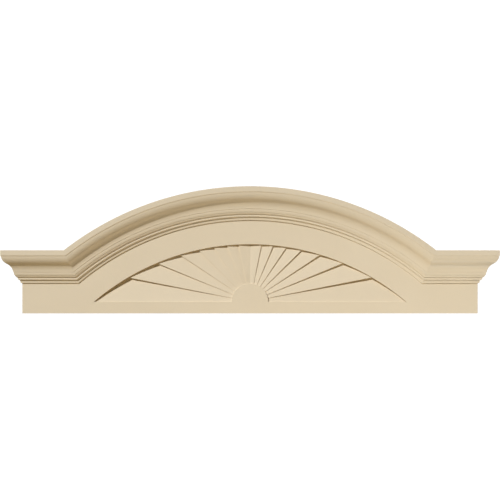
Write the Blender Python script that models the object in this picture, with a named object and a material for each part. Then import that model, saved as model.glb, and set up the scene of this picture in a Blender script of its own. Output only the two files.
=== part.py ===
"""Sunburst pediment: a moulded head for a door or a window, made in one piece.

A plain frieze board carries a crown moulding. The crown runs level over each end, rises into an arch
between them and returns to the wall at both sides. Under the arch, a fan of tilted blades spreads from a
half-round hub. Metres, +Z up. The front faces -Y. The back lies flat on the wall at Y = 0, with the origin
at its middle.
"""

import math

import bmesh
import bpy

# Overall sizes
OVERALL_WIDTH = 2.184  # crown, from corner to corner
FLANKER_LENGTH = 0.278  # level top at each end, from the corner to the foot of the arch
FLANKER_HEIGHT = 0.281  # bottom edge to the level tops
ARCH_RISE = 0.280  # level tops to the crest of the arch
BOARD_THICKNESS = 0.036  # back to the face of the frieze

# Members of the crown from the top down: DROP is a member's height, BACK how far it sets back
FASCIA_DROP = 0.0225
FASCIA_STEP_DROP = 0.0045
FASCIA_STEP_BACK = 0.0027
CYMA_DROP = 0.0690
CYMA_BACK = 0.0435
CYMA_TURN = 0.47  # share of the cyma that is round, above its hollow part
CYMA_EASE = math.radians(6.0)  # lean of the cyma's face at its top
QUIRK_DROP = 0.0012
QUIRK_BACK = 0.0021
OVOLO_DROP = 0.0133
OVOLO_BACK = 0.0031
OVOLO_STEP_DROP = 0.0010
OVOLO_STEP_BACK = 0.0019
ROUND_DROP = 0.0092
ROUND_BACK = 0.0065
ROUND_EASE = math.radians(8.0)  # lean of the small round's face at its top
ROUND_SOFFIT = 0.0026
LISTEL_DROP = 0.0091
LISTEL_SOFFIT = 0.0012
COVE_DROP = 0.0090
COVE_BACK = 0.0083
BASE_FILLET_DROP = 0.0067
BASE_FILLET_BACK = 0.0014
BASE_SOFFIT_DROP = 0.0015
BASE_SOFFIT_BACK = 0.0059

# Sunburst
BAND_WIDTH = 0.1061  # plain band between the crown and the recess
SUN_BASE_HEIGHT = 0.0520  # bottom edge to the straight side of the recess
HUB_RADIUS = 0.081
FAN_DEPTH = 0.0068  # lower edge of every blade, below the frieze
BLADE_SINK = 0.0250  # how much deeper a blade's upper edge lies, for each metre out from the hub's centre
BLADES_PER_SIDE = 8

# Fineness of the round shapes
ARCH_STEPS = 48
CYMA_STEPS = 6
OVOLO_STEPS = 5
ROUND_STEPS = 4
COVE_STEPS = 4
BLADE_STEPS = 5
SMOOTH_BELOW = math.radians(30.0)

# Finish: factory-primed tan
PRIMER_COLOUR = (0.70, 0.585, 0.385, 1.0)
PRIMER_ROUGHNESS = 0.55

# Places that follow from the sizes
BOTTOM_Z = -(FLANKER_HEIGHT + ARCH_RISE) / 2
FLANKER_TOP_Z = BOTTOM_Z + FLANKER_HEIGHT
HALF_SPAN = OVERALL_WIDTH / 2 - FLANKER_LENGTH
ARCH_RADIUS = (HALF_SPAN**2 + ARCH_RISE**2) / (2 * ARCH_RISE)
ARCH_CENTRE_Z = FLANKER_TOP_Z + ARCH_RISE - ARCH_RADIUS
SUN_BASE_Z = BOTTOM_Z + SUN_BASE_HEIGHT
FRIEZE_Y = -BOARD_THICKNESS
BLADE_ANGLE = math.pi / 2 / BLADES_PER_SIDE
SIDE_STEPS = BLADES_PER_SIDE * BLADE_STEPS


def arc_to(points, drop, back, start, steps):
    """Adds a round member to the section. Its face starts leaning back by `start` from straight down."""
    first_drop, first_back = points[-1]
    chord = math.hypot(drop, back)
    turn = 2 * (math.atan2(back, drop) - start)
    radius = chord / (2 * math.sin(turn / 2))
    for step in range(1, steps + 1):
        lean = start + turn * step / steps
        along = radius * (math.sin(lean) - math.sin(start))
        inward = radius * (math.cos(start) - math.cos(lean))
        points.append((first_drop + along, first_back + inward))


def line_to(points, drop, back):
    points.append((points[-1][0] + drop, points[-1][1] + back))


def crown_section():
    """Section of the crown, top first, as (distance below the top, distance in front of the frieze)."""
    points = [(0.0, 0.0)]
    line_to(points, FASCIA_DROP, 0.0)
    line_to(points, FASCIA_STEP_DROP, FASCIA_STEP_BACK)
    cyma_middle = 2 * math.atan2(CYMA_BACK, CYMA_DROP) - CYMA_EASE
    arc_to(points, CYMA_DROP * CYMA_TURN, CYMA_BACK * CYMA_TURN, CYMA_EASE, CYMA_STEPS)
    arc_to(points, CYMA_DROP * (1 - CYMA_TURN), CYMA_BACK * (1 - CYMA_TURN), cyma_middle, CYMA_STEPS)
    line_to(points, QUIRK_DROP, QUIRK_BACK)
    arc_to(points, OVOLO_DROP, OVOLO_BACK, 0.0, OVOLO_STEPS)
    line_to(points, OVOLO_STEP_DROP, OVOLO_STEP_BACK)
    arc_to(points, ROUND_DROP, ROUND_BACK, ROUND_EASE, ROUND_STEPS)
    line_to(points, 0.0, ROUND_SOFFIT)
    line_to(points, LISTEL_DROP, 0.0)
    line_to(points, 0.0, LISTEL_SOFFIT)
    arc_to(points, COVE_DROP, COVE_BACK, 2 * math.atan2(COVE_BACK, COVE_DROP), COVE_STEPS)
    line_to(points, BASE_FILLET_DROP, BASE_FILLET_BACK)
    line_to(points, BASE_SOFFIT_DROP, BASE_SOFFIT_BACK)
    projection = points[-1][1]
    return [(drop, projection - back) for drop, back in points]


CROWN_SECTION = crown_section()
CROWN_PROJECTION = CROWN_SECTION[0][1]
CROWN_HEIGHT = CROWN_SECTION[-1][0]
FRIEZE_HALF_WIDTH = OVERALL_WIDTH / 2 - CROWN_PROJECTION
SUN_RADIUS = ARCH_RADIUS - CROWN_HEIGHT - BAND_WIDTH


def crown_run(drop, projection):
    """Run of one point of the section: wall, left corner, over the arch, right corner and wall."""
    level = FLANKER_TOP_Z - drop
    side = FRIEZE_HALF_WIDTH + projection
    front = FRIEZE_Y - projection
    radius = ARCH_RADIUS - drop
    half_angle = math.acos((level - ARCH_CENTRE_Z) / radius)
    run = [(-side, 0.0, level), (-side, front, level)]
    for step in range(ARCH_STEPS + 1):
        angle = half_angle * (2 * step / ARCH_STEPS - 1)
        run.append((radius * math.sin(angle), front, ARCH_CENTRE_Z + radius * math.cos(angle)))
    run += [(side, front, level), (side, 0.0, level)]
    return run


def build_crown(bm):
    """Lofts the crown from its section's runs. Returns its rows of vertices, top row first."""
    rows = [[bm.verts.new(point) for point in crown_run(*pair)] for pair in CROWN_SECTION]
    for upper, lower in zip(rows, rows[1:]):
        for here in range(len(upper) - 1):
            bm.faces.new((upper[here], lower[here], lower[here + 1], upper[here + 1]))
    return rows


def build_board(bm, rows):
    """Closes the body round the crown: its top, the back, the two ends and the underside."""
    top, crease = rows[0], rows[-1]
    top_back = [bm.verts.new((vert.co.x, 0.0, vert.co.z)) for vert in top[2:-2]]
    bm.faces.new((top[0], top[1], top[2], top_back[0]))
    for here in range(len(top_back) - 1):
        bm.faces.new((top_back[here], top[here + 2], top[here + 3], top_back[here + 1]))
    bm.faces.new((top_back[-1], top[-3], top[-2], top[-1]))

    left_back, left_front, right_front, right_back = [
        bm.verts.new((side * FRIEZE_HALF_WIDTH, y, BOTTOM_Z))
        for side, y in ((-1, 0.0), (-1, FRIEZE_Y), (1, FRIEZE_Y), (1, 0.0))
    ]
    bm.faces.new((crease[0], crease[1], left_front, left_back))
    bm.faces.new((crease[-1], crease[-2], right_front, right_back))
    bm.faces.new((left_back, left_front, right_front, right_back))
    left_end = [row[0] for row in rows]
    right_end = [row[-1] for row in reversed(rows)]
    bm.faces.new(left_end + [left_back, right_back] + right_end + top_back[::-1])


def recess_reach(ray):
    """Length from the centre of the hub to the arch of the recess, along a ray at this angle from level."""
    above = SUN_BASE_Z - ARCH_CENTRE_Z
    return math.sqrt(SUN_RADIUS**2 - (above * math.cos(ray)) ** 2) - above * math.sin(ray)


def blade_depth(reach, share):
    """Depth of a blade below the frieze. `share` is 0 at its level lower edge and 1 at its deep edge."""
    return FAN_DEPTH + reach * BLADE_SINK * share


def ray_column(bm, angle, reach, depths):
    """Vertices at one point of the recess's edge, one for each depth, shallow first."""
    x = reach * math.cos(angle)
    z = SUN_BASE_Z + reach * math.sin(angle)
    return [bm.verts.new((x, FRIEZE_Y + depth, z)) for depth in depths]


def column_pair(bm, station):
    """Columns where a station's ray meets the hub and the arch. A step between two blades has two depths."""
    blade, step = divmod(min(station, 2 * SIDE_STEPS - station), BLADE_STEPS)
    shares = [step / BLADE_STEPS]
    if step == 0 and blade > 0:
        shares = [0.0, 1.0]
    if blade == BLADES_PER_SIDE:
        shares = [1.0]
    angle = math.pi / 2 * station / SIDE_STEPS
    rim_reach = recess_reach((blade + step / BLADE_STEPS) * BLADE_ANGLE)
    hub_depths = [0.0] + [blade_depth(HUB_RADIUS, share) for share in shares]
    rim_depths = [0.0] + [blade_depth(rim_reach, share) for share in shares]
    return ray_column(bm, angle, HUB_RADIUS, hub_depths), ray_column(bm, angle, rim_reach, rim_depths)


def build_wall(bm, first, second):
    """Wall between two columns, which meet only at the frieze and at their last depths."""
    longer, other = (second, first) if len(second) > len(first) else (first, second)
    ring = longer + other[:0:-1]
    for here, there in zip(ring, ring[1:]):
        bm.faces.new((other[0], here, there))


def build_sunburst(bm):
    """Sinks the fan of blades into the frieze, from the right end of its base over the top to the left."""
    pairs = [column_pair(bm, station) for station in range(2 * SIDE_STEPS + 1)]
    for station in range(2 * SIDE_STEPS):
        surface = []
        for start, end in zip(pairs[station], pairs[station + 1]):
            if station < SIDE_STEPS:
                start = start[:2]
            else:
                end = end[:2]
            build_wall(bm, start, end)
            surface.append((start[-1], end[-1]))
        (hub_start, hub_end), (rim_start, rim_end) = surface
        bm.faces.new((hub_start, rim_start, rim_end, hub_end))
    for hub, rim in pairs:
        if len(hub) > 2:
            bm.faces.new((hub[1], rim[1], rim[2], hub[2]))
    for hub, rim in (pairs[0], pairs[-1]):
        bm.faces.new((hub[0], rim[0], rim[1], hub[1]))


def primer_material(name):
    material = bpy.data.materials.new(name)
    material.use_nodes = True
    shader = material.node_tree.nodes["Principled BSDF"]
    shader.inputs["Base Color"].default_value = PRIMER_COLOUR
    shader.inputs["Roughness"].default_value = PRIMER_ROUGHNESS
    material.diffuse_color = PRIMER_COLOUR
    return material


def build_pediment():
    bm = bmesh.new()
    rows = build_crown(bm)
    build_board(bm, rows)
    build_sunburst(bm)
    open_edges = [edge for edge in bm.edges if edge.is_boundary]
    bmesh.ops.triangle_fill(bm, use_beauty=True, edges=open_edges)
    bmesh.ops.recalc_face_normals(bm, faces=bm.faces)
    mesh = bpy.data.meshes.new("sunburst_pediment")
    bm.to_mesh(mesh)
    bm.free()
    mesh.shade_smooth()
    mesh.set_sharp_from_angle(angle=SMOOTH_BELOW)
    mesh.materials.append(primer_material("primed_tan"))
    pediment = bpy.data.objects.new("sunburst_pediment", mesh)
    bpy.context.scene.collection.objects.link(pediment)
    return pediment


for old in list(bpy.data.objects):
    bpy.data.objects.remove(old, do_unlink=True)
build_pediment()
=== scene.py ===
"""Looks of the sunburst pediment: a fine mesh of its form, the primed finish, the studio and the camera.

Metres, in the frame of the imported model: +Z up, the carved front facing -Y and the flat back on the wall.
"""

import math

import bmesh
import bpy
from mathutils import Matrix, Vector


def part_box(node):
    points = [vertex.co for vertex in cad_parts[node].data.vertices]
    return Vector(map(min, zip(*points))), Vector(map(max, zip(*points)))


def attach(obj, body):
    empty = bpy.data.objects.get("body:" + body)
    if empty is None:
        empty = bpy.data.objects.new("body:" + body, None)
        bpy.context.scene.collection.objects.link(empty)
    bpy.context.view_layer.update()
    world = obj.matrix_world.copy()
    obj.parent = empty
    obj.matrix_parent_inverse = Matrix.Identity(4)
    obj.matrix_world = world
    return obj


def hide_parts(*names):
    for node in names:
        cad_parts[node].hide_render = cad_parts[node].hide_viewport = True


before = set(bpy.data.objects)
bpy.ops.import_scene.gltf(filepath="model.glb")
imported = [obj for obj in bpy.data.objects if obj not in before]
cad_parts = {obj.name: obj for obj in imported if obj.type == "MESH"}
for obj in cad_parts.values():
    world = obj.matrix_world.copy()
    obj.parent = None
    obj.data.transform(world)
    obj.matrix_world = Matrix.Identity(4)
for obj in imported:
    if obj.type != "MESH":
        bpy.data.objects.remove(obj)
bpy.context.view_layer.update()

# Sizes that the frame gives
NODE = "sunburst_pediment"
NODE_LOW, NODE_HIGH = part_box(NODE)
OVERALL_WIDTH = NODE_HIGH[0] - NODE_LOW[0]
BACK_Y = NODE_HIGH[1]
BOTTOM_Z = NODE_LOW[2]
CREST_Z = NODE_HIGH[2]

# Sizes of the pediment
FLANKER_LENGTH = 0.278  # level top at each end, from the corner to the foot of the arch
FLANKER_HEIGHT = 0.281  # bottom edge to the level tops

# Members of the crown from the top down: DROP is a member's height, BACK how far it sets back
FASCIA_DROP = 0.0225
FASCIA_STEP_DROP = 0.0045
FASCIA_STEP_BACK = 0.0027
CYMA_DROP = 0.0690
CYMA_BACK = 0.0435
CYMA_TURN = 0.47  # share of the cyma that is round, above its hollow part
CYMA_EASE = math.radians(6.0)  # lean of the cyma's face at its top
QUIRK_DROP = 0.0012
QUIRK_BACK = 0.0021
OVOLO_DROP = 0.0133
OVOLO_BACK = 0.0031
OVOLO_STEP_DROP = 0.0010
OVOLO_STEP_BACK = 0.0019
ROUND_DROP = 0.0092
ROUND_BACK = 0.0065
ROUND_EASE = math.radians(8.0)  # lean of the small round's face at its top
ROUND_SOFFIT = 0.0026
LISTEL_DROP = 0.0091
LISTEL_SOFFIT = 0.0012
COVE_DROP = 0.0090
COVE_BACK = 0.0083
BASE_FILLET_DROP = 0.0067
BASE_FILLET_BACK = 0.0014
BASE_SOFFIT_DROP = 0.0015
BASE_SOFFIT_BACK = 0.0059

# Sunburst
BAND_WIDTH = 0.1061  # plain band between the crown and the recess
SUN_BASE_HEIGHT = 0.0520  # bottom edge to the straight side of the recess
HUB_RADIUS = 0.081
FAN_DEPTH = 0.0068  # lower edge of every blade, below the frieze
BLADE_SINK = 0.0250  # how much deeper a blade's upper edge lies, for each metre out from the hub's centre
BLADES_PER_SIDE = 8

# Softness of the moulded edges and fineness of the mesh
ARRIS_RADIUS = 0.0008
FAN_ARRIS_RADIUS = 0.0003  # crisper edges of the recess, the hub and the blades
CORNER_RADIUS = 0.0012
SECTION_MARGIN = 0.0030  # how far the crown's rows run on over the top and down the frieze
SHARP_TURN = math.radians(15.0)
CREASE_ANGLE = math.radians(35.0)
VALLEY_ANGLE = math.radians(1.0)
ARRIS_STEPS = 3
CORNER_STEPS = 3
ARCH_STEPS = 80
CYMA_STEPS = 16
OVOLO_STEPS = 8
ROUND_STEPS = 6
COVE_STEPS = 8
BLADE_STEPS = 8
CUT_SHARE = 0.4  # the most that a rounded corner takes of the straight on either side of it
MERGE_DISTANCE = 1e-6
FLAT_WEIGHT = 100  # the modifier's highest: a corner takes its shading from its largest faces
BACK_MATERIAL = 1  # place of the back's material in the mesh, after the primer
WEAR_AND_SHADE = "wear_and_shade"  # 1 on a rounded arris, where the primer is worn paler; -1 in a crease, which is darkened as painted shade

# Finish: a SPAN holds the values of a noise between which a colour or a roughness changes
NOISE_SPAN = (0.3, 0.7)  # most of the values that a noise has
PRIMER_TAN = (0.706, 0.590, 0.430, 1.0)
PRIMER_PALE = (0.728, 0.613, 0.455, 1.0)
PRIMER_DEEP = (0.560, 0.450, 0.275, 1.0)
CLOUD_PALE = 0.5  # largest share of the pale primer in the clouds
GRAIN_SPAN = (0.45, 0.8)
GRAIN_DEEP = 0.12  # largest share of the deep primer in the spray's grain
PAINTED_CREASE_SHADE = 0.35  # share of the deep primer painted at the bottom of a crease as shade
ARRIS_PALE = 0.5  # share of the pale primer on a rounded arris
PRIMER_ROUGHNESS = (0.46, 0.54)
GRAIN_ROUGHNESS = 0.08
GRAIN_HEIGHT = 0.35  # as a share of the orange peel's height
PEEL_HEIGHT = 0.00005
FOAM_TAN = (0.760, 0.670, 0.480, 1.0)
FOAM_DUST = (0.815, 0.745, 0.575, 1.0)
FOAM_CELL = (0.500, 0.410, 0.260, 1.0)
CLOUD_DUST = 0.6  # largest share of dust in the clouds
SCRATCH_SPAN = (0.45, 0.7)
SCRATCH_DUST = 0.25  # largest share of dust in a scratch
CELL_SPAN = (0.66, 0.74)
CELL_SHADE = 0.8  # share of the cells' own colour in an open cell
FOAM_ROUGHNESS = (0.75, 0.9)
CELL_HEIGHT = 0.0001

# Studio
CAMERA_DISTANCE = 4.447  # from the frieze
CAMERA_Z = 0.0016
CAMERA_LENS = 72.0
SUN_DISTANCE = 3  # where the suns stand, which doesn't change their light
KEY_TOWARDS = Vector((-0.44, -0.70, 0.56))
KEY_STRENGTH = 3.61
KEY_ANGLE = math.radians(1.5)
TOP_TOWARDS = Vector((-0.05, -0.26, 0.97))
TOP_STRENGTH = 0.2
RIGHT_TOWARDS = Vector((0.85, -0.49, 0.17))
RIGHT_STRENGTH = 0.12
BACK_TOWARDS = Vector((0.40, 0.91, 0.09))
BACK_STRENGTH = 1.9
BROAD_ANGLE = math.radians(40.0)
SIDE_FILL_PLACE = Vector((1.3, -0.25, -1.6))
SIDE_FILL_POWER = 14.5
SIDE_FILL_SIZE = 0.2
FRONT_FILL_PLACE = Vector((0.35, -1.4, -0.6))
FRONT_FILL_POWER = 3.0
FRONT_FILL_SIZE = 0.1
DAYLIGHT = (0.94, 0.98, 1.0)
COOL = (0.88, 0.96, 1.0)
WARM = (1.0, 0.72, 0.40)
WHITE = (1.0, 1.0, 1.0, 1.0)
WORLD_LIGHT = 0.01
WORLD_SEEN = 1.1  # a little over white, so that the edges of the part blend into full white
FLOOR_SAND = (0.84, 0.62, 0.30, 1.0)  # gives the soffits their warm shade
FLOOR_ROUGHNESS = 0.8
FLOOR_Z = -2.2
FLOOR_SIZE = 4.2
FLOOR_BEHIND = 0.5  # how far the floor runs on behind the wall face


def arc_to(points, drop, back, start, steps):
    """Adds a round member to the section. Its face starts leaning back by `start` from straight down."""
    first_drop, first_back = points[-1]
    chord = math.hypot(drop, back)
    turn = 2 * (math.atan2(back, drop) - start)
    radius = chord / (2 * math.sin(turn / 2))
    for step in range(1, steps + 1):
        lean = start + turn * step / steps
        along = radius * (math.sin(lean) - math.sin(start))
        inward = radius * (math.cos(start) - math.cos(lean))
        points.append((first_drop + along, first_back + inward))


def line_to(points, drop, back):
    points.append((points[-1][0] + drop, points[-1][1] + back))


def soften(points):
    """Rounds the corners of a section. Each point comes back with its mark: 1 on an arris for wear, -1 in a
    crease for painted shade.
    """
    softened = [(*points[0], 0.0)]
    for before, corner, after in zip(points, points[1:], points[2:]):
        corner = Vector(corner)
        into = corner - Vector(before)
        out = Vector(after) - corner
        turn = math.atan2(into.x * out.y - into.y * out.x, into.dot(out))
        if abs(turn) < SHARP_TURN:
            softened.append((*corner, 0.0))
            continue
        longest_cut = CUT_SHARE * min(into.length, out.length)
        cut = min(ARRIS_RADIUS * math.tan(abs(turn) / 2), longest_cut)
        start = corner - into.normalized() * cut
        end = corner + out.normalized() * cut
        for step in range(ARRIS_STEPS + 1):
            share = step / ARRIS_STEPS
            point = start.lerp(corner, share).lerp(corner.lerp(end, share), share)
            # the sign gives 1 for wear on an arris and -1 for painted shade in a crease
            softened.append((*point, math.copysign(0 < step < ARRIS_STEPS, turn)))
    softened.append((*points[-1], 0.0))
    return softened


def crown_section():
    """Section of the crown, top first, as (drop from the top, distance in front of the frieze, mark of arris
    wear or painted crease shade).
    """
    points = [(0.0, SECTION_MARGIN), (0.0, 0.0)]
    line_to(points, FASCIA_DROP, 0.0)
    line_to(points, FASCIA_STEP_DROP, FASCIA_STEP_BACK)
    cyma_middle = 2 * math.atan2(CYMA_BACK, CYMA_DROP) - CYMA_EASE
    arc_to(points, CYMA_DROP * CYMA_TURN, CYMA_BACK * CYMA_TURN, CYMA_EASE, CYMA_STEPS)
    arc_to(points, CYMA_DROP * (1 - CYMA_TURN), CYMA_BACK * (1 - CYMA_TURN), cyma_middle, CYMA_STEPS)
    line_to(points, QUIRK_DROP, QUIRK_BACK)
    arc_to(points, OVOLO_DROP, OVOLO_BACK, 0.0, OVOLO_STEPS)
    line_to(points, OVOLO_STEP_DROP, OVOLO_STEP_BACK)
    arc_to(points, ROUND_DROP, ROUND_BACK, ROUND_EASE, ROUND_STEPS)
    line_to(points, 0.0, ROUND_SOFFIT)
    line_to(points, LISTEL_DROP, 0.0)
    line_to(points, 0.0, LISTEL_SOFFIT)
    arc_to(points, COVE_DROP, COVE_BACK, 2 * math.atan2(COVE_BACK, COVE_DROP), COVE_STEPS)
    line_to(points, BASE_FILLET_DROP, BASE_FILLET_BACK)
    line_to(points, BASE_SOFFIT_DROP, BASE_SOFFIT_BACK)
    line_to(points, SECTION_MARGIN, 0.0)
    projection = points[-1][1]
    return [(drop, projection - back, wear_and_shade) for drop, back, wear_and_shade in soften(points)]


CROWN_SECTION = crown_section()
CROWN_PROJECTION = max(projection for drop, projection, wear_and_shade in CROWN_SECTION)
CROWN_HEIGHT = CROWN_SECTION[-1][0] - SECTION_MARGIN
FRIEZE_Y = NODE_LOW[1] + CROWN_PROJECTION
FRIEZE_HALF_WIDTH = OVERALL_WIDTH / 2 - CROWN_PROJECTION
FLANKER_TOP_Z = BOTTOM_Z + FLANKER_HEIGHT
ARCH_RISE = CREST_Z - FLANKER_TOP_Z
HALF_SPAN = OVERALL_WIDTH / 2 - FLANKER_LENGTH
ARCH_RADIUS = (HALF_SPAN**2 + ARCH_RISE**2) / (2 * ARCH_RISE)
ARCH_CENTRE_Z = CREST_Z - ARCH_RADIUS
SUN_BASE_Z = BOTTOM_Z + SUN_BASE_HEIGHT
SUN_RADIUS = ARCH_RADIUS - CROWN_HEIGHT - BAND_WIDTH
BLADE_ANGLE = math.pi / 2 / BLADES_PER_SIDE


def new_vertex(bm, x, y, z, wear_and_shade=0.0):
    vert = bm.verts.new((x, y, z))
    vert[bm.verts.layers.float[WEAR_AND_SHADE]] = wear_and_shade
    return vert


def arch_run(drop, projection, side):
    """Run of one point of the section from the crest of the arch down to its foot on one side."""
    level = FLANKER_TOP_Z - drop
    radius = ARCH_RADIUS - drop
    foot_angle = math.acos((level - ARCH_CENTRE_Z) / radius)
    run = []
    for step in range(ARCH_STEPS + 1):
        angle = foot_angle * step / ARCH_STEPS
        x = side * radius * math.sin(angle)
        run.append((x, FRIEZE_Y - projection, ARCH_CENTRE_Z + radius * math.cos(angle)))
    return run


def end_run(bm, projection, level, radius, wear_and_shade, side):
    """Vertices round the outer corner of the part, and where its end meets the wall."""
    half = FRIEZE_HALF_WIDTH + projection
    front = FRIEZE_Y - projection
    row = []
    for step in range(CORNER_STEPS + 1):
        turn = math.pi / 2 * step / CORNER_STEPS
        x = half - radius * (1 - math.sin(turn))
        y = front + radius * (1 - math.cos(turn))
        row.append(new_vertex(bm, side * x, y, level, wear_and_shade or float(0 < step < CORNER_STEPS)))
    row.append(new_vertex(bm, side * half, BACK_Y, level, wear_and_shade))
    return row


def loft(bm, rows):
    for upper, lower in zip(rows, rows[1:]):
        for here in range(len(upper) - 1):
            bm.faces.new((upper[here], lower[here], lower[here + 1], upper[here + 1]))


def build_crown(bm, side):
    """Half of the crown. Returns its rows along the arch and its rows round the end, top rows first."""
    arch_rows, end_rows = [], []
    for drop, projection, wear_and_shade in CROWN_SECTION:
        arch_rows.append([new_vertex(bm, *point, wear_and_shade) for point in arch_run(drop, projection, side)])
        end_rows.append(end_run(bm, projection, FLANKER_TOP_Z - drop, CORNER_RADIUS, wear_and_shade, side))
    loft(bm, [arch + end for arch, end in zip(arch_rows, end_rows)])
    for upper, lower in zip(arch_rows, arch_rows[1:]):
        bm.edges.get((upper[-1], lower[-1])).smooth = False
    return arch_rows, end_rows


def build_foot(bm, side):
    """Half of the rounded bottom edge, from the frieze down to the underside."""
    fronts, end_rows = [], []
    for step in range(ARRIS_STEPS + 1):
        turn = math.pi / 2 * step / ARRIS_STEPS
        inset = ARRIS_RADIUS * (1 - math.cos(turn))
        level = BOTTOM_Z + ARRIS_RADIUS * (1 - math.sin(turn))
        wear_and_shade = float(0 < step < ARRIS_STEPS)
        fronts.append(new_vertex(bm, 0.0, FRIEZE_Y + inset, level, wear_and_shade))
        end_rows.append(end_run(bm, -inset, level, CORNER_RADIUS - inset, wear_and_shade, side))
    loft(bm, [[front] + end for front, end in zip(fronts, end_rows)])
    return fronts, end_rows


def recess_reach(ray):
    """Length from the centre of the hub to the arch of the recess, along a ray at this angle from level."""
    above = SUN_BASE_Z - ARCH_CENTRE_Z
    return math.sqrt(SUN_RADIUS**2 - (above * math.cos(ray)) ** 2) - above * math.sin(ray)


def blade_stations():
    """Stations across the blades, from the base up to the middle, as (blade, share, offset, sink).

    `share` is how far across the blade a ray lies, `offset` how far beside it the station is, and `sink` how
    far the rounded arris lies below the blade's plane there.
    """
    stations = [(0, 0.0, 0.0, 0.0)]
    for blade in range(BLADES_PER_SIDE):
        if blade > 0:
            for step in range(ARRIS_STEPS + 1):
                turn = math.pi / 2 * step / ARRIS_STEPS
                offset = FAN_ARRIS_RADIUS * (1 - math.cos(turn))
                stations.append((blade, 0.0, offset, FAN_ARRIS_RADIUS * (1 - math.sin(turn))))
        stations += [(blade, step / BLADE_STEPS, 0.0, 0.0) for step in range(1, BLADE_STEPS + 1)]
    return stations


def station_end(station, at_rim):
    """(x, z, depth) where a station meets the hub or the arch of the recess."""
    blade, share, offset, sink = station
    angle = (blade + share) * BLADE_ANGLE
    if at_rim:
        angle += offset / recess_reach(angle)
        reach = recess_reach(angle)
    else:
        angle += offset / HUB_RADIUS
        reach = HUB_RADIUS
    across = angle / BLADE_ANGLE - blade
    depth = FAN_DEPTH + reach * BLADE_SINK * across + sink
    return reach * math.cos(angle), SUN_BASE_Z + reach * math.sin(angle), depth


def edge_ring(bm, x, z, outward, radius, side):
    """Rounded edge of the frieze at one point of the recess, from the frieze down to the recess's wall."""
    ring = []
    for step in range(ARRIS_STEPS + 1):
        turn = math.pi / 2 * step / ARRIS_STEPS
        offset = radius * (1 - math.sin(turn))
        place_x = side * (x + outward[0] * offset)
        place_y = FRIEZE_Y + radius * (1 - math.cos(turn))
        place_z = z + outward[1] * offset
        ring.append(new_vertex(bm, place_x, place_y, place_z, float(0 < step < ARRIS_STEPS)))
    return ring


def build_recess_side(bm, stations, at_rim, side):
    """Wall of the recess along its arch or round the hub. Returns its floor vertices and its rings."""
    floor, rings = [], []
    for station in stations:
        x, z, depth = station_end(station, at_rim)
        floor.append(new_vertex(bm, side * x, FRIEZE_Y + depth, z))
        if at_rim:
            outward = Vector((x, z - ARCH_CENTRE_Z)).normalized()
        else:
            outward = Vector((-x, SUN_BASE_Z - z)).normalized()
        if station == stations[0]:
            outward = Vector(((1 + outward.y) / outward.x, -1.0))
        starts_blade = station[0] > 0 and station[1:3] == (0.0, 0.0)
        if starts_blade:
            rings.append(rings[-1])
        else:
            rings.append(edge_ring(bm, x, z, outward, FAN_ARRIS_RADIUS, side))
    for here in range(len(stations) - 1):
        if rings[here] is rings[here + 1]:
            continue
        loft(bm, [rings[here], rings[here + 1]])
        corner = [rings[here][-1], rings[here + 1][-1]]
        if here + 2 < len(stations) and rings[here + 2] is rings[here + 1]:
            corner.append(floor[here + 2])
        bm.faces.new(corner + [floor[here + 1], floor[here]])
    return floor, rings


def build_sunburst(bm, side):
    """Half of the fan of blades. Returns the frieze's edge round it, from the hub's top to the rim's."""
    stations = blade_stations()
    hub_floor, hub_rings = build_recess_side(bm, stations, False, side)
    rim_floor, rim_rings = build_recess_side(bm, stations, True, side)
    loft(bm, [hub_floor, rim_floor])
    bm.edges.get((hub_floor[-1], rim_floor[-1])).smooth = False
    loft(bm, [hub_rings[0], rim_rings[0]])
    bm.faces.new((hub_rings[0][-1], rim_rings[0][-1], rim_floor[0], hub_floor[0]))
    edge = [ring[0] for ring in hub_rings[::-1] + rim_rings]
    return [vert for here, vert in enumerate(edge) if here == 0 or vert is not edge[here - 1]]


def build_half(bm, side):
    """One half of the pediment, open along the centre line. `side` is 1 on the right and -1 on the left."""
    arch_rows, crown_ends = build_crown(bm, side)
    foot_fronts, foot_ends = build_foot(bm, side)
    sun_edge = build_sunburst(bm, side)
    loft(bm, [crown_ends[-1], foot_ends[0]])
    bm.faces.new([foot_fronts[0]] + sun_edge + arch_rows[-1] + [crown_ends[-1][0], foot_ends[0][0]])

    top = arch_rows[0]
    top_back = [new_vertex(bm, vert.co.x, BACK_Y, vert.co.z) for vert in top]
    loft(bm, [top_back, top])
    bm.faces.new([top_back[-1], top[-1]] + crown_ends[0])
    bottom_back = new_vertex(bm, 0.0, BACK_Y, BOTTOM_Z)
    bm.faces.new([bottom_back, foot_fronts[-1]] + foot_ends[-1])
    back = bm.faces.new(top_back + [row[-1] for row in crown_ends + foot_ends] + [bottom_back])
    back.material_index = BACK_MATERIAL


def build_pediment():
    mesh = bpy.data.meshes.new("pediment_body")
    bm = bmesh.new()
    bm.verts.layers.float.new(WEAR_AND_SHADE)
    for side in (-1, 1):
        build_half(bm, side)
    bmesh.ops.remove_doubles(bm, verts=bm.verts, dist=MERGE_DISTANCE)
    bmesh.ops.triangulate(bm, faces=[face for face in bm.faces if len(face.verts) > 4])
    bmesh.ops.recalc_face_normals(bm, faces=bm.faces)
    for edge in bm.edges:
        angle = edge.calc_face_angle(0.0)
        on_centre = all(abs(vert.co.x) < MERGE_DISTANCE for vert in edge.verts)
        if angle > CREASE_ANGLE or (on_centre and angle > VALLEY_ANGLE):
            edge.smooth = False
    for face in bm.faces:
        face.smooth = True
    bm.to_mesh(mesh)
    bm.free()
    body = bpy.data.objects.new("pediment_body", mesh)
    bpy.context.scene.collection.objects.link(body)
    normals = body.modifiers.new("flat faces stay flat", "WEIGHTED_NORMAL")
    normals.keep_sharp = True
    normals.weight = FLAT_WEIGHT
    return body


def new_material(name, base_color):
    material = bpy.data.materials.new(name)
    material.use_nodes = True
    material.diffuse_color = base_color
    return material, material.node_tree.nodes["Principled BSDF"]


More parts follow.
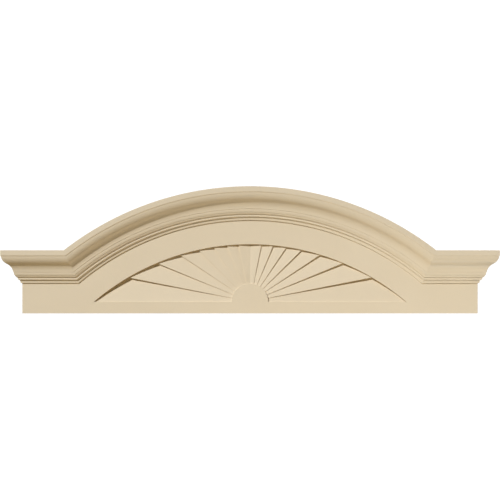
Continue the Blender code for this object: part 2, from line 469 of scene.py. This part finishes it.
def noise(tree, scale, detail, stretch=(1.0, 1.0, 1.0)):
    """Noise in the part's own metres: `scale` is about how many grains fit in a metre."""
    place = tree.nodes.new("ShaderNodeTexCoord")
    mapping = tree.nodes.new("ShaderNodeMapping")
    mapping.inputs["Scale"].default_value = stretch
    texture = tree.nodes.new("ShaderNodeTexNoise")
    texture.inputs["Scale"].default_value = scale
    texture.inputs["Detail"].default_value = detail
    tree.links.new(place.outputs["Object"], mapping.inputs["Vector"])
    tree.links.new(mapping.outputs["Vector"], texture.inputs["Vector"])
    return texture.outputs["Fac"]


def remap(tree, value, span, result):
    """Turns a span of values into another one. Outside the span the value stays at its end."""
    node = tree.nodes.new("ShaderNodeMapRange")
    for name, number in zip(("From Min", "From Max", "To Min", "To Max"), span + result):
        node.inputs[name].default_value = number
    tree.links.new(value, node.inputs["Value"])
    return node.outputs["Result"]


def mix_colour(tree, factor, first, second):
    """Mixes two colours. Each is four numbers or a socket."""
    node = tree.nodes.new("ShaderNodeMix")
    node.data_type = "RGBA"
    tree.links.new(factor, node.inputs["Factor"])
    sockets = [socket for socket in node.inputs if socket.type == "RGBA"]
    for socket, colour in zip(sockets, (first, second)):
        if isinstance(colour, tuple):
            socket.default_value = colour
        else:
            tree.links.new(colour, socket)
    return next(socket for socket in node.outputs if socket.type == "RGBA")


def add(tree, first, second):
    node = tree.nodes.new("ShaderNodeMath")
    node.operation = "ADD"
    tree.links.new(first, node.inputs[0])
    tree.links.new(second, node.inputs[1])
    return node.outputs["Value"]


def bump(tree, height, distance):
    node = tree.nodes.new("ShaderNodeBump")
    node.inputs["Strength"].default_value = 1.0
    node.inputs["Distance"].default_value = distance
    tree.links.new(height, node.inputs["Height"])
    return node.outputs["Normal"]


def primed_urethane():
    """Sprayed tan primer on moulded urethane: faint clouds, fine spray grain, a soft orange peel, paler worn
    arrises, and creases darkened with painted shade.
    """
    material, shader = new_material("primed_urethane", PRIMER_TAN)
    tree = material.node_tree
    clouds = noise(tree, scale=3.0, detail=3.0)
    grain = noise(tree, scale=900.0, detail=2.0)
    peel = noise(tree, scale=260.0, detail=2.0)
    colour = mix_colour(tree, remap(tree, clouds, NOISE_SPAN, (0.0, CLOUD_PALE)), PRIMER_TAN, PRIMER_PALE)
    colour = mix_colour(tree, remap(tree, grain, GRAIN_SPAN, (0.0, GRAIN_DEEP)), colour, PRIMER_DEEP)
    wear_and_shade = tree.nodes.new("ShaderNodeAttribute")
    wear_and_shade.attribute_name = WEAR_AND_SHADE
    # painted shade: the deep primer darkens the creases
    painted_crease_shade = remap(tree, wear_and_shade.outputs["Fac"], (-1.0, 0.0), (PAINTED_CREASE_SHADE, 0.0))
    arrises = remap(tree, wear_and_shade.outputs["Fac"], (0.0, 1.0), (0.0, ARRIS_PALE))
    colour = mix_colour(tree, painted_crease_shade, colour, PRIMER_DEEP)
    colour = mix_colour(tree, arrises, colour, PRIMER_PALE)
    tree.links.new(colour, shader.inputs["Base Color"])
    broad = remap(tree, clouds, NOISE_SPAN, PRIMER_ROUGHNESS)
    fine = remap(tree, grain, NOISE_SPAN, (0.0, GRAIN_ROUGHNESS))
    tree.links.new(add(tree, broad, fine), shader.inputs["Roughness"])
    height = add(tree, peel, remap(tree, grain, (0.0, 1.0), (0.0, GRAIN_HEIGHT)))
    tree.links.new(bump(tree, height, PEEL_HEIGHT), shader.inputs["Normal"])
    return material


def sanded_back():
    """Back of the casting: bare foam sanded flat, with straight scratches and open cells."""
    material, shader = new_material("sanded_back", FOAM_TAN)
    tree = material.node_tree
    scratches = noise(tree, scale=20.0, detail=4.0, stretch=(1.0, 1.0, 70.0))
    cells = noise(tree, scale=420.0, detail=1.0)
    clouds = noise(tree, scale=4.0, detail=3.0)
    colour = mix_colour(tree, remap(tree, clouds, NOISE_SPAN, (0.0, CLOUD_DUST)), FOAM_TAN, FOAM_DUST)
    colour = mix_colour(tree, remap(tree, scratches, SCRATCH_SPAN, (0.0, SCRATCH_DUST)), colour, FOAM_DUST)
    colour = mix_colour(tree, remap(tree, cells, CELL_SPAN, (0.0, CELL_SHADE)), colour, FOAM_CELL)
    tree.links.new(colour, shader.inputs["Base Color"])
    tree.links.new(remap(tree, scratches, NOISE_SPAN, FOAM_ROUGHNESS), shader.inputs["Roughness"])
    height = add(tree, remap(tree, cells, CELL_SPAN, (1.0, 0.0)), scratches)
    tree.links.new(bump(tree, height, CELL_HEIGHT), shader.inputs["Normal"])
    return material


def matt_floor():
    material, shader = new_material("pale_floor", FLOOR_SAND)
    shader.inputs["Base Color"].default_value = FLOOR_SAND
    shader.inputs["Roughness"].default_value = FLOOR_ROUGHNESS
    return material


def add_floor():
    """Finite floor below the part. It ends behind the part before it would come into the photo's view."""
    half = FLOOR_SIZE / 2
    corners = [(-half, -FLOOR_SIZE), (half, -FLOOR_SIZE), (half, FLOOR_BEHIND), (-half, FLOOR_BEHIND)]
    mesh = bpy.data.meshes.new("floor")
    mesh.from_pydata([(x, y, FLOOR_Z) for x, y in corners], [], [(0, 1, 2, 3)])
    mesh.materials.append(matt_floor())
    floor = bpy.data.objects.new("floor", mesh)
    bpy.context.scene.collection.objects.link(floor)


def add_light(kind, name, place, power, colour):
    """Light at a place, aimed at the middle of the part and not seen itself."""
    light = bpy.data.lights.new(name, kind)
    light.energy = power
    light.color = colour
    lamp = bpy.data.objects.new(name, light)
    lamp.location = place
    lamp.rotation_euler = (-place).to_track_quat("-Z", "Y").to_euler()
    lamp.visible_camera = False
    bpy.context.scene.collection.objects.link(lamp)
    return light


def add_lights():
    """Key from the upper left, near fills in front and low on the right, and broad suns all round."""
    for name, towards, strength, colour, angle in (
        ("key", KEY_TOWARDS, KEY_STRENGTH, DAYLIGHT, KEY_ANGLE),
        ("top", TOP_TOWARDS, TOP_STRENGTH, DAYLIGHT, BROAD_ANGLE),
        ("right", RIGHT_TOWARDS, RIGHT_STRENGTH, WARM, BROAD_ANGLE),
        ("back", BACK_TOWARDS, BACK_STRENGTH, DAYLIGHT, BROAD_ANGLE),
    ):
        add_light("SUN", name, towards * SUN_DISTANCE, strength, colour).angle = angle
    add_light("AREA", "side_fill", SIDE_FILL_PLACE, SIDE_FILL_POWER, COOL).size = SIDE_FILL_SIZE
    front = add_light("POINT", "front_fill", FRONT_FILL_PLACE, FRONT_FILL_POWER, WARM)
    front.shadow_soft_size = FRONT_FILL_SIZE


def add_world():
    """White surround. What the camera sees of it is full white, and what it gives as light is dimmer."""
    world = bpy.data.worlds.new("surround")
    world.use_nodes = True
    tree = world.node_tree
    light = tree.nodes["Background"]
    light.inputs["Color"].default_value = WHITE
    light.inputs["Strength"].default_value = WORLD_LIGHT
    seen = tree.nodes.new("ShaderNodeBackground")
    seen.inputs["Color"].default_value = WHITE
    seen.inputs["Strength"].default_value = WORLD_SEEN
    paths = tree.nodes.new("ShaderNodeLightPath")
    mix = tree.nodes.new("ShaderNodeMixShader")
    tree.links.new(paths.outputs["Is Camera Ray"], mix.inputs[0])
    tree.links.new(light.outputs["Background"], mix.inputs[1])
    tree.links.new(seen.outputs["Background"], mix.inputs[2])
    tree.links.new(mix.outputs["Shader"], tree.nodes["World Output"].inputs["Surface"])
    bpy.context.scene.world = world


def add_camera():
    camera = bpy.data.objects.new("camera", bpy.data.cameras.new("camera"))
    camera.data.lens = CAMERA_LENS
    camera.location = (0.0, FRIEZE_Y - CAMERA_DISTANCE, CAMERA_Z)
    camera.rotation_euler = (math.pi / 2, 0.0, 0.0)
    bpy.context.scene.collection.objects.link(camera)
    bpy.context.scene.camera = camera


bpy.context.scene.view_settings.view_transform = "Standard"
pediment = build_pediment()
pediment.data.materials.append(primed_urethane())
pediment.data.materials.append(sanded_back())
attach(pediment, "root")
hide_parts(NODE)
add_floor()
add_lights()
add_world()
add_camera()
